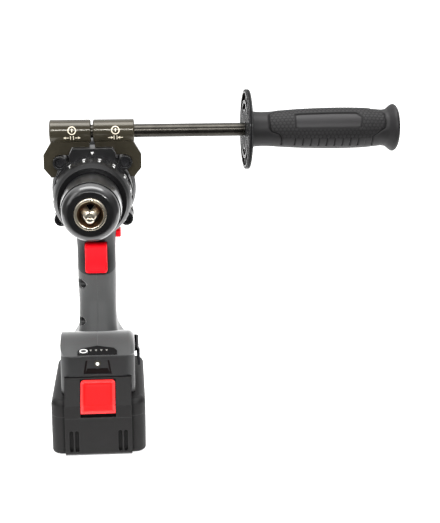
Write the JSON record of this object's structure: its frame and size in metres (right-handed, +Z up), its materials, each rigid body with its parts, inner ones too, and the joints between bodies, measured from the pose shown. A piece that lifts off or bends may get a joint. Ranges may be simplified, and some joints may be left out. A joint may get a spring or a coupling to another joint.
{
  "type": "cordless hammer drill",
  "caption": "Cordless hammer drill with a keyless chuck, torque collar, pistol grip, slide-on battery and a clamped-on side handle, standing on its battery.",
  "frame": {"origin": "centre of the battery's bottom face, on the floor the tool stands on", "axes": "+Z up, chuck towards -Y, side handle towards +X, spindle axis parallel to Y"},
  "size_m": [0.2728, 0.202, 0.2839],
  "materials": {
    "housing_black": "fine-grained moulded nylon",
    "cover_grey": "soft moulded rubber",
    "screw_steel": "dark zinc",
    "case_metal": "dark painted casting",
    "gear_steel": "ground steel",
    "bright_steel": "ground and polished",
    "lamination": "stacked sheet",
    "copper": "enamelled wire",
    "magnet": "sintered",
    "fan_plastic": "moulded",
    "board_green": "lacquered board",
    "switch_black": "moulded",
    "red_plastic": "satin moulded",
    "lens_clear": "clear lens",
    "gauge_black": "glossy film",
    "gauge_button_dark": "soft key",
    "clip_steel": "zinc plated",
    "claw_paint": "dark hammered paint",
    "rod_steel": "black oxide",
    "handle_black": "moulded",
    "handle_rubber": "textured rubber",
    "chuck_black": "glossy moulded",
    "collar_black": "satin moulded",
    "battery_black": "fine-grained moulded",
    "cell_wrap": "shrink-wrapped can",
    "strap_nickel": "nickel strip",
    "contact_copper": "plated"
  },
  "bodies": {
    "tool": {"left_housing": "housing_black", "right_housing": "housing_black", "left_cover": "cover_grey", "right_cover": "cover_grey", "housing_screws": "screw_steel", "gear_case": "case_metal", "gear_case_screws": "screw_steel", "gear_plate": "gear_steel", "ring_gear": "gear_steel", "front_bearing": "bright_steel", "fixed_ratchet": "gear_steel", "clutch_spring": "gear_steel", "stator_core": "lamination", "stator_coils": "copper", "motor_bearings": "bright_steel", "trigger_switch": "switch_black", "control_board": "board_green", "light_lens": "lens_clear", "gauge_panel": "gauge_black", "terminal_block": "switch_black", "belt_clip": "clip_steel", "right_claw": "claw_paint"},
    "chuck": {"spindle": "gear_steel", "chuck_body": "bright_steel", "chuck_screw": "screw_steel", "spindle_ratchet": "gear_steel"},
    "sleeve": {"chuck_sleeve": "chuck_black", "chuck_nut": "gear_steel"},
    "jaw_1": {"chuck_jaw_1": "bright_steel"},
    "jaw_2": {"chuck_jaw_2": "bright_steel"},
    "jaw_3": {"chuck_jaw_3": "bright_steel"},
    "rotor": {"motor_shaft": "gear_steel", "rotor_core": "lamination", "rotor_magnets": "magnet", "fan": "fan_plastic"},
    "carrier": {"first_carrier": "gear_steel"},
    "collar": {"torque_collar": "collar_black"},
    "trigger": {"trigger": "red_plastic"},
    "direction_selector": {"direction_selector": "red_plastic"},
    "speed_selector": {"speed_selector": "switch_black"},
    "gauge_button": {"gauge_button": "gauge_button_dark"},
    "handle": {"handle_rod": "rod_steel", "handle_core": "handle_black", "handle_sleeve": "handle_rubber"},
    "left_claw": {"left_claw": "claw_paint"},
    "battery": {"battery_lower_case": "battery_black", "battery_upper_case": "battery_black", "battery_cells": "cell_wrap", "cell_straps": "strap_nickel", "battery_board": "board_green", "battery_contacts": "contact_copper", "battery_screws": "screw_steel"},
    "release_button": {"release_button": "red_plastic"},
    "first_planet_1": {"first_planet_1": "gear_steel"},
    "first_planet_2": {"first_planet_2": "gear_steel"},
    "first_planet_3": {"first_planet_3": "gear_steel"},
    "second_planet_1": {"second_planet_1": "gear_steel"},
    "second_planet_2": {"second_planet_2": "gear_steel"},
    "second_planet_3": {"second_planet_3": "gear_steel"}
  },
  "joints": [
    {"name": "chuck_spin", "type": "hinge", "parent": "tool", "child": "chuck", "pos_m": [0, 0, 0.206], "axis": [0, 1, 0], "continuous": true},
    {"name": "sleeve_turn", "type": "hinge", "parent": "chuck", "child": "sleeve", "pos_m": [0, 0, 0.206], "axis": [0, 1, 0], "range_deg": [0, 3240]},
    {"name": "jaw_1_slide", "type": "slide", "parent": "chuck", "child": "jaw_1", "axis": [0.2241, 0.9659, 0.1294], "range_m": [0, 0.0217]},
    {"name": "jaw_2_slide", "type": "slide", "parent": "chuck", "child": "jaw_2", "axis": [-0.2241, 0.9659, 0.1294], "range_m": [0, 0.0217]},
    {"name": "jaw_3_slide", "type": "slide", "parent": "chuck", "child": "jaw_3", "axis": [0, 0.9659, -0.2588], "range_m": [0, 0.0217]},
    {"name": "rotor_spin", "type": "hinge", "parent": "tool", "child": "rotor", "pos_m": [0, 0, 0.206], "axis": [0, 1, 0], "continuous": true},
    {"name": "carrier_spin", "type": "hinge", "parent": "tool", "child": "carrier", "pos_m": [0, 0, 0.206], "axis": [0, 1, 0], "continuous": true},
    {"name": "first_planet_1_spin", "type": "hinge", "parent": "carrier", "child": "first_planet_1", "pos_m": [0, 0, 0.21815], "axis": [0, 1, 0], "continuous": true},
    {"name": "first_planet_2_spin", "type": "hinge", "parent": "carrier", "child": "first_planet_2", "pos_m": [-0.01052, 0, 0.19992], "axis": [0, 1, 0], "continuous": true},
    {"name": "first_planet_3_spin", "type": "hinge", "parent": "carrier", "child": "first_planet_3", "pos_m": [0.01052, 0, 0.19992], "axis": [0, 1, 0], "continuous": true},
    {"name": "second_planet_1_spin", "type": "hinge", "parent": "chuck", "child": "second_planet_1", "pos_m": [0, 0, 0.21815], "axis": [0, 1, 0], "continuous": true},
    {"name": "second_planet_2_spin", "type": "hinge", "parent": "chuck", "child": "second_planet_2", "pos_m": [-0.01052, 0, 0.19992], "axis": [0, 1, 0], "continuous": true},
    {"name": "second_planet_3_spin", "type": "hinge", "parent": "chuck", "child": "second_planet_3", "pos_m": [0.01052, 0, 0.19992], "axis": [0, 1, 0], "continuous": true},
    {"name": "collar_turn", "type": "hinge", "parent": "tool", "child": "collar", "pos_m": [0, 0, 0.206], "axis": [0, 1, 0], "range_deg": [-30, 270]},
    {"name": "trigger_pull", "type": "slide", "parent": "tool", "child": "trigger", "axis": [0, 1, 0], "range_m": [0, 0.008], "stiffness_N_per_m": 700, "springref_m": -0.004},
    {"name": "direction_slide", "type": "slide", "parent": "tool", "child": "direction_selector", "axis": [1, 0, 0], "range_m": [-0.0055, 0]},
    {"name": "speed_slide", "type": "slide", "parent": "tool", "child": "speed_selector", "axis": [0, 1, 0], "range_m": [0, 0.009]},
    {"name": "gauge_press", "type": "slide", "parent": "tool", "child": "gauge_button", "axis": [0, 0.5736, -0.8192], "range_m": [0, 0.0008], "stiffness_N_per_m": 1500, "springref_m": -0.0004},
    {"name": "handle_turn", "type": "hinge", "parent": "tool", "child": "handle", "pos_m": [0, -0.0216, 0.2533], "axis": [1, 0, 0], "range_deg": [0, 1800]},
    {"name": "left_claw_slide", "type": "slide", "parent": "tool", "child": "left_claw", "axis": [-1, 0, 0], "range_m": [0, 0.0081]},
    {"name": "battery_slide", "type": "slide", "parent": "tool", "child": "battery", "axis": [0, -1, 0], "range_m": [0, 0.095]},
    {"name": "release_press", "type": "slide", "parent": "battery", "child": "release_button", "axis": [0, 0, -1], "range_m": [0, 0.003], "stiffness_N_per_m": 900, "springref_m": -0.002}
  ],
  "couplings": [
    {"joint": "jaw_1_slide", "follows": "sleeve_turn", "m_per_rad": 0.00038197},
    {"joint": "jaw_2_slide", "follows": "sleeve_turn", "m_per_rad": 0.00038197},
    {"joint": "jaw_3_slide", "follows": "sleeve_turn", "m_per_rad": 0.00038197},
    {"joint": "rotor_spin", "follows": "chuck_spin", "ratio": 20.25},
    {"joint": "carrier_spin", "follows": "chuck_spin", "ratio": 4.5},
    {"joint": "first_planet_1_spin", "follows": "chuck_spin", "ratio": -12.6},
    {"joint": "first_planet_2_spin", "follows": "chuck_spin", "ratio": -12.6},
    {"joint": "first_planet_3_spin", "follows": "chuck_spin", "ratio": -12.6},
    {"joint": "second_planet_1_spin", "follows": "chuck_spin", "ratio": -2.8},
    {"joint": "second_planet_2_spin", "follows": "chuck_spin", "ratio": -2.8},
    {"joint": "second_planet_3_spin", "follows": "chuck_spin", "ratio": -2.8},
    {"joint": "left_claw_slide", "follows": "handle_turn", "m_per_rad": 0.00025465}
  ]
}
